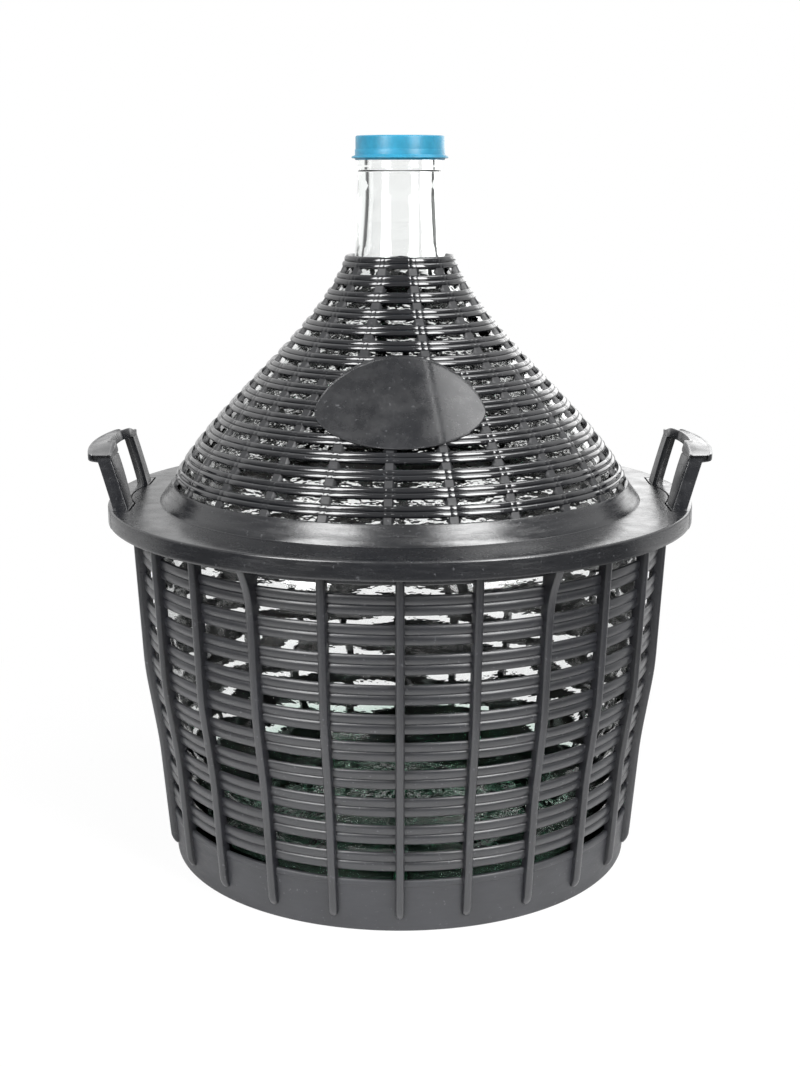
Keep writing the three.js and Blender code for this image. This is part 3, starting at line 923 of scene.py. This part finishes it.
def cone_posts(angles, rows, half_width):
    """Posts up the slope. In each slot a post keeps its flat face and its back swells to a point.

    The back's half width is half_width + post_swell (1 - |2 u - 1|) across a slot, u being the
    share of the slot's height, and half_width behind a ring.
    """
    share = np.array([0, 0.5, 1])
    along = np.concatenate([row_pitch * np.arange(rows)[:, None] + slot_height * share]).ravel()
    swell = np.tile(1 - np.abs(2 * share - 1), rows)
    along = np.concatenate([along, [along[-1] + 2]])
    swell = np.concatenate([swell, [0]])
    back = half_width + post_swell * swell
    face = np.full_like(back, half_width)
    side = np.stack([-face, -face + 0.3, face - 0.3, face, back, -back], 1)
    out = np.array([-cone_bead_depth, post_face, post_face, -cone_bead_depth, post_back, post_back])
    along, side, out = np.broadcast_arrays(along[:, None], side, out)
    radius, _, height = on_cone(along, out, 0)
    return around_axis(radius, angles[:, None, None] + side / radius, height)


post_angles = front + cover_turn + main_angle * np.arange(main_posts)
main = cone_posts(post_angles + main_angle / 2, slot_rows, main_half)
short = cone_posts(post_angles, short_rows, short_half)
make_piece("cover_cone", [(cone_rings, True)], "cover", "cover", glossy_polyethylene)
# The posts' faces keep the duller skin of the mould's side cores, where nothing polishes them
core_polyethylene = moulded_plastic(
    "core_side_polyethylene",
    "131417",
    roughness=0.5,
    grain_mm=1.4,
    grain_depth=0.08,
    streaks=0.08,
    stretch=3,
    gloss=0.6,
)
make_piece("cover_posts", [(main, False), (short, False)], "cover", "cover", core_polyethylene)


# The cover's foot: a plain sloping band, a wide flat flange and a skirt that hangs over the
# basket's rim. The flange is notched at both sides for the handles, and is duller from use.

# Hands and cloths have rubbed it in long level strokes, which blur the soft boxes
rubbed_polyethylene = moulded_plastic(
    "rubbed_polyethylene",
    "131417",
    roughness=0.25,
    grain_mm=2.2,
    grain_depth=0.08,
    streaks=0.09,
    stretch=9,
    gloss=0.9,
)

band_foot_radius = 160.5
band_under, band_drop, band_spread, band_hollow = 0.5, 10.4, 7.3, 1.15
fillet_radius = 0.6
edge_radius = 1.3
flange_under = 241.7
notch_gap = 1.2
notch_plane = lug_inner - notch_gap
notch_half = lug_half + notch_gap
notch_radius = np.hypot(notch_plane, notch_half)
notch_angle = np.arctan2(notch_half, notch_plane)

turn = np.radians(np.linspace(0, 90, 6))
share = np.linspace(0, 1, 6)
band_out = cone_radii[0] + band_spread * share**band_hollow
band_face = np.stack([band_out, cone_foot - band_under - band_drop * share], 1)
fillet = fillet_radius * np.stack([1 - np.cos(turn[1:]), 1 - np.sin(turn[1:])], 1)
fillet = fillet + [band_foot_radius, flange_top]
flange_face = [(172, flange_top + 0.05), (184, flange_top)]
edge = edge_radius * np.stack([np.sin(turn) - 1, np.cos(turn) - 1], 1) + [flange_radius, flange_top]
skirt = [
    (flange_radius - 0.1, skirt_foot + 2.4),
    (flange_radius, skirt_foot + 1.4),
    (flange_radius - 0.3, skirt_foot + 0.4),
    (flange_radius - 1.0, skirt_foot),
    (skirt_inner + 0.4, skirt_foot),
    (skirt_inner, skirt_foot + 0.5),
]
under = [
    (skirt_inner, flange_under),
    (184, flange_under),
    (160, flange_under),
    (157.6, 243.6),
    (150.2, cone_foot - 1.5),
    (150.4, cone_foot - 0.3),
    (152.6, cone_foot - 0.1),
]
profile = np.concatenate([band_face, fillet, flange_face, edge, skirt, under])
radius, level = profile[:, 0], profile[:, 1]

# Between the notches every point keeps its own radius, and the ends run straight along the notch
end = np.arcsin(np.minimum(notch_half / np.maximum(radius, notch_radius), 1))
arc = end + (np.pi - 2 * end) * np.linspace(0, 1, 110)[:, None]
full = np.broadcast_to(radius, arc.shape)
full_level = np.broadcast_to(level, arc.shape)
# In a notch the points beyond its straight edge draw back to it and close up under the flange
gap = np.linspace(-notch_angle, notch_angle, 49)[:, None]
cut = np.minimum(radius, (notch_plane + lug_bow(notch_plane * np.tan(gap))) / np.cos(gap))
cut_level = np.where(radius > cut, np.clip(level, flange_under, flange_top), level)
gap = np.broadcast_to(gap, cut.shape)
angle = np.concatenate([arc, gap + np.pi, arc + np.pi, gap + 2 * np.pi])
radius = np.concatenate([full, cut, full, cut])
level = np.concatenate([full_level, cut_level, full_level, cut_level])
flange = around_axis(radius, angle, level)[None]
make_piece("cover_flange", [(flange, True)], "cover", "cover", rubbed_polyethylene)


# The oval plate on the cover's front, moulded in one with it. It stands a little proud of the
# beads, has a thin raised edge, and shows three faint upright creases.

# Its flat face scratches easily, and is satin with clouds of wear
satin_polyethylene = moulded_plastic(
    "satin_polyethylene",
    "121316",
    roughness=0.3,
    grain_mm=0.9,
    grain_depth=0.08,
    streaks=0.12,
    stretch=1,
    gloss=0.78,
)

plate_half = 52.5
plate_corner = 70.3
plate_foot, foot_fullness = 51.5, 0.5
plate_head, head_fullness = 102.2, 0.7
plate_proud, plate_sunk = 0.95, 1.6
edge_rise = 0.5
edge_half = 0.55
crease_bearings = (-17.8, -2.8, 12.2)
crease_depth, crease_half = 0.22, 0.9

u = np.sin(np.linspace(-np.pi / 2, np.pi / 2, 110))[:, None]
share = np.maximum(1 - u**2, 0)
low = flange_top + plate_corner + (plate_foot - plate_corner) * share**foot_fullness
high = flange_top + plate_corner + (plate_head - plate_corner) * share**head_fullness
v = (1 - np.cos(np.linspace(0, np.pi, 40))) / 2
level = low + (high - low) * v
inward = np.minimum(level - low, high - level)
# The edge rises over half its width and falls over the rest, and starts below the plate's face
lip = edge_rise * np.clip(1 - np.abs(inward / edge_half - 1), 0, 1)
lip = lip - 0.5 * np.clip(1 - inward / edge_half, 0, 1)
across = plate_half * u
radius = cone_radius(level) + plate_proud
for bearing in crease_bearings:
    away = (np.arcsin(across / radius) - np.radians(bearing)) * radius
    radius = radius - crease_depth * np.exp(-((away / crease_half) ** 2))
depth = -np.sqrt((radius + lip) ** 2 - across**2)
face = np.stack(np.broadcast_arrays(across, depth, level), -1)
rear = face[:, ::-1].copy()
rear[..., 1] = -np.sqrt((cone_radius(rear[..., 2]) - plate_sunk) ** 2 - rear[..., 0] ** 2)
plate = np.concatenate([face, rear], 1)[None]
make_piece("cover_plate", [(plate, False)], "cover", "cover", satin_polyethylene, crease=50)


# The demijohn: blown clear glass with a faint green tint, which the thick base shows most. The
# outside is smooth from the mould, and the inside wanders a little.
mouth = 477.3
glass_foot = 4.9
heel_top = 34.9
shoulder_foot = 205
slope_top = 400
body_room, shoulder_room = 5.4, 4
# The blown wall is thick at the base, thinnest up the body, and thick again in the neck
wall_levels = [5, 30, 60, 200, 250, 385, 412, 477]
wall_depths = [10, 7, 3.8, 3.4, 4, 4.6, 6.8, 6.6]
neck_bore, ledge_bore, finish_bore = 20.5, 21.5, 21.65
neck_wander = 0.15
# The inside's waves: how deep in millimetres, how many times round, radians per millimetre up, start
waves = [(0.35, 3, 1 / 31, 0), (0.28, 7, -1 / 17, 1), (0.22, 11, 1 / 9, 0), (0.18, 2, 1 / 6.5, 0)]
wave_mm, ripple_mm, ripple_flattening = 66.67, 9.091, 2.2
glass_tint, base_tint = "7FD6AE", "86CFAE"


def bezier(points, count):
    """Points on the cubic curve with those four corners, the last one left out."""
    t = np.linspace(0, 1, count, endpoint=False)[:, None]
    a, b, c, d = np.array(points, float)
    return a * (1 - t) ** 3 + 3 * b * (1 - t) ** 2 * t + 3 * c * (1 - t) * t**2 + d * t**3


def glass_radius(height):
    """The body stands body_room inside the basket's wall, all the way up to the shoulder."""
    return wall_radius(height) - wall_thickness - body_room


heel = glass_radius(heel_top)
rise = np.linspace(heel_top, shoulder_foot, 26)
waist = glass_radius(shoulder_foot)
slope_height = np.linspace(cone_foot, slope_top, 26)
slope = cone_radius(slope_height) - cone_wall - shoulder_room
profile = np.concatenate(
    [
        bezier([(0, 17), (50, 16.6), (96, 11), (108, glass_foot + 0.6)], 12),
        bezier([(108, glass_foot + 0.6), (110, glass_foot), (114, glass_foot), (121, glass_foot)], 5),
        bezier([(121, glass_foot), (137, glass_foot), (heel, 18), (heel, heel_top)], 12),
        np.stack([glass_radius(rise), rise], 1)[1:-1],
        bezier([(waist, shoulder_foot), (waist, 227), (157, 241.4), (146, cone_foot)], 12),
        np.stack([slope, slope_height], 1),
        bezier([(slope[-1] - 0.2, 401.5), (29.1, 409), (28.5, 419), (28.1, 430)], 8),
        [(28, 434), (27.85, 439), (27.65, 443.5), (27.45, 448), (27.3, 452), (27.2, 456)],
        [(27.2, 457.6), (27.3, 458.4), (27.38, 459.2), (27.38, 459.8), (27.3, 460.6), (27.2, 461.6)],
        [(27.2, 475.6), (26.8, 476.8), (25.7, mouth)],
    ]
)


def moved_in(profile, distance):
    """The profile moved square to itself, towards the axis, by a distance for each point."""
    step = np.gradient(profile, axis=0)
    step /= np.linalg.norm(step, axis=1, keepdims=True)
    inner = profile + np.stack([-step[:, 1], step[:, 0]], 1) * distance[:, None]
    inner[:, 0] = np.maximum(inner[:, 0], 0)
    return inner


wall = np.interp(profile[:, 1], wall_levels, wall_depths)
inner = moved_in(profile, wall)
inner[0] = (0, profile[0, 1] + wall[0])
# A fine ledge in the bore draws the dark line round the neck
bore = [(21, 432), *((neck_bore, level) for level in (440, 448, 454, 456.8, 457.1))]
bore += [(20.6, 457.35), (20.87, 457.6), (21.18, 457.85), (21.43, 458.1), (ledge_bore, 458.35)]
bore += [(21.3, 461), (21.25, 465), (21.25, 467), (finish_bore, 469.5), (finish_bore, 472)]
inner = np.concatenate([inner[inner[:, 1] < 425], bore])
lip = [(finish_bore + 1.6, mouth), (finish_bore + 0.4, mouth - 0.5), (finish_bore, mouth - 1.5)]
loop = np.concatenate([profile, lip, inner[::-1]])
is_inner = np.arange(len(loop)) >= len(profile) + len(lip)
turn = np.linspace(0, 2 * np.pi, 200, endpoint=False)[:, None]
z = loop[:, 1]
wander = sum(size * np.sin(times * turn + pitch * z + start) for size, times, pitch, start in waves)
fade = np.clip(loop[:, 0] / 60, 0, 1) * np.interp(z, [0, 380, 430], [1, 1, neck_wander])
radius = loop[:, 0] + wander * fade * is_inner
bottle = around_axis(radius, turn, z)[None]

# Blown glass has a fire-polished face, so it is clear and sharp, and shows only by what it bends
clear_glass, tree = new_material("clear_glass")
place = add_node(tree, "ShaderNodeTexCoord")
level = add_node(tree, "ShaderNodeSeparateXYZ", links={0: place.outputs["Object"]})
# The body wanders broadly, the shoulder is finely rippled along its rings, the neck nearly plain
broad = add_node(
    tree,
    "ShaderNodeTexNoise",
    values={"Scale": 1000 / wave_mm, "Detail": 2, "Roughness": 0.3},
    links={"Vector": place.outputs["Object"]},
)
flattened = add_node(
    tree,
    "ShaderNodeMapping",
    values={"Scale": (1, 1, ripple_flattening)},
    links={"Vector": place.outputs["Object"]},
)
fine = add_node(
    tree,
    "ShaderNodeTexNoise",
    values={"Scale": 1000 / ripple_mm, "Detail": 2, "Roughness": 0.5},
    links={"Vector": flattened.outputs[0]},
)
calm = add_node(
    tree,
    "ShaderNodeMapRange",
    values={"From Min": 0.39, "From Max": 0.425, "To Min": 1.0, "To Max": 0.03},
    links={"Value": level.outputs["Z"]},
)
lively = add_node(
    tree,
    "ShaderNodeMapRange",
    values={"From Min": 0.2, "From Max": 0.27, "To Min": 0.015, "To Max": 0.08},
    links={"Value": level.outputs["Z"]},
)
# The base is stippled, and is thick enough to look green
stipple = add_node(
    tree,
    "ShaderNodeMapRange",
    values={"From Min": 0.016, "From Max": 0.03, "To Min": 0.5, "To Max": 0.0},
    links={"Value": level.outputs["Z"]},
)
liveliness = add_node(
    tree,
    "ShaderNodeMath",
    {"operation": "ADD"},
    links={0: lively.outputs[0], 1: stipple.outputs[0]},
)
thickness = add_node(
    tree,
    "ShaderNodeValToRGB",
    links={0: level.outputs["Z"]},
    stops=[(0.018, linear(base_tint)), (0.05, linear("FFFFFF"))],
)
both = add_node(
    tree,
    "ShaderNodeMath",
    {"operation": "MULTIPLY_ADD"},
    links={0: fine.outputs["Fac"], 1: liveliness.outputs[0], 2: broad.outputs["Fac"]},
)
depth = add_node(
    tree,
    "ShaderNodeMath",
    {"operation": "MULTIPLY"},
    links={0: both.outputs[0], 1: calm.outputs[0]},
)
ripple = add_node(
    tree,
    "ShaderNodeBump",
    values={"Strength": 1.0, "Distance": 0.0024},
    links={"Height": depth.outputs[0]},
)
surface = add_node(
    tree,
    "ShaderNodeBsdfPrincipled",
    values={"Roughness": 0.0, "IOR": 1.52, "Transmission Weight": 1.0},
    links={"Base Color": thickness.outputs[0], "Normal": ripple.outputs[0]},
)
tint = add_node(
    tree,
    "ShaderNodeVolumeAbsorption",
    values={"Color": linear(glass_tint), "Density": 3.0},
)
add_node(
    tree, "ShaderNodeOutputMaterial", links={"Surface": surface.outputs[0], "Volume": tint.outputs[0]}
)
make_piece("demijohn_glass", [(bottle, True)], "demijohn", "demijohn", clear_glass, crease=60)


# The cap: one soft low-density polyethylene moulding, pushed on. It has a lip round its foot, a
# fine step a little above it, and a plug inside that seals the bore.
cap_low, cap_high = (corner * 1000 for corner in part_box("cap"))
cap_foot, cap_top = cap_low.z, cap_high.z
cap_reach = cap_high.x
cap_outer = cap_reach - 2.3
cap_inner = cap_outer - 1.5
cap_rounding = 1.1
cap_under = cap_top - 2
plug_inner, plug_outer, plug_foot = 19.9, 21.5, cap_top - 9
cap_cloud_mm = 11.11

turn = np.radians(np.linspace(0, 90, 6))
shoulder = cap_rounding * np.stack([np.cos(turn) - 1, np.sin(turn) - 1], 1) + [cap_outer - 0.3, cap_top]
profile = np.concatenate(
    [
        [(cap_inner, cap_foot), (cap_outer - 0.2, cap_foot), (cap_outer, cap_foot + 0.3)],
        [(cap_outer + 0.2, cap_foot + 0.9), (cap_reach - 0.3, cap_foot + 1.1)],
        [(cap_reach, cap_foot + 1.4), (cap_reach, cap_foot + 1.9)],
        [(cap_reach - 0.4, cap_foot + 2.4), (cap_outer + 0.5, cap_foot + 2.8)],
        [(cap_outer + 0.1, cap_foot + 3.3), (cap_outer + 0.1, cap_foot + 6.3)],
        [(cap_outer, cap_foot + 6.6), (cap_outer - 0.3, cap_foot + 6.7)],
        [(cap_outer - 0.3, cap_foot + 7.6)],
        shoulder,
        [(cap_outer - 3.4, cap_top), (cap_outer - 3.9, cap_top - 0.4), (0, cap_top - 0.45)],
        [(0, cap_under), (plug_inner, cap_under), (plug_inner, plug_foot), (plug_outer, plug_foot)],
        [(plug_outer, cap_under), (cap_inner, cap_under)],
    ]
)
cap = around_axis(profile[:, 0], full_turn[::2, None], profile[:, 1])[None]

# Unfilled polyethylene lets a little light in, which softens the cap's edges
soft_polyethylene, tree = new_material("soft_blue_polyethylene")
place = add_node(tree, "ShaderNodeTexCoord")
cloud = add_node(
    tree,
    "ShaderNodeTexNoise",
    values={"Scale": 1000 / cap_cloud_mm, "Detail": 4, "Roughness": 0.6},
    links={"Vector": place.outputs["Object"]},
)
tone = add_node(
    tree,
    "ShaderNodeValToRGB",
    links={0: cloud.outputs["Fac"]},
    stops=[(0.35, linear("26748F")), (0.7, linear("2E86A6"))],
)
bump = add_node(
    tree,
    "ShaderNodeBump",
    values={"Strength": 0.3, "Distance": 0.0002},
    links={"Height": cloud.outputs["Fac"]},
)
surface = add_node(
    tree,
    "ShaderNodeBsdfPrincipled",
    values={
        "Roughness": 0.33,
        "IOR": 1.51,
        "Specular IOR Level": 0.35,
        "Subsurface Weight": 0.15,
        "Subsurface Radius": (0.001, 0.002, 0.003),
    },
    links={"Base Color": tone.outputs[0], "Normal": bump.outputs[0]},
)
add_node(tree, "ShaderNodeOutputMaterial", links={"Surface": surface.outputs[0]})
make_piece("cap_shell", [(cap, True)], "cap", "cap", soft_polyethylene)
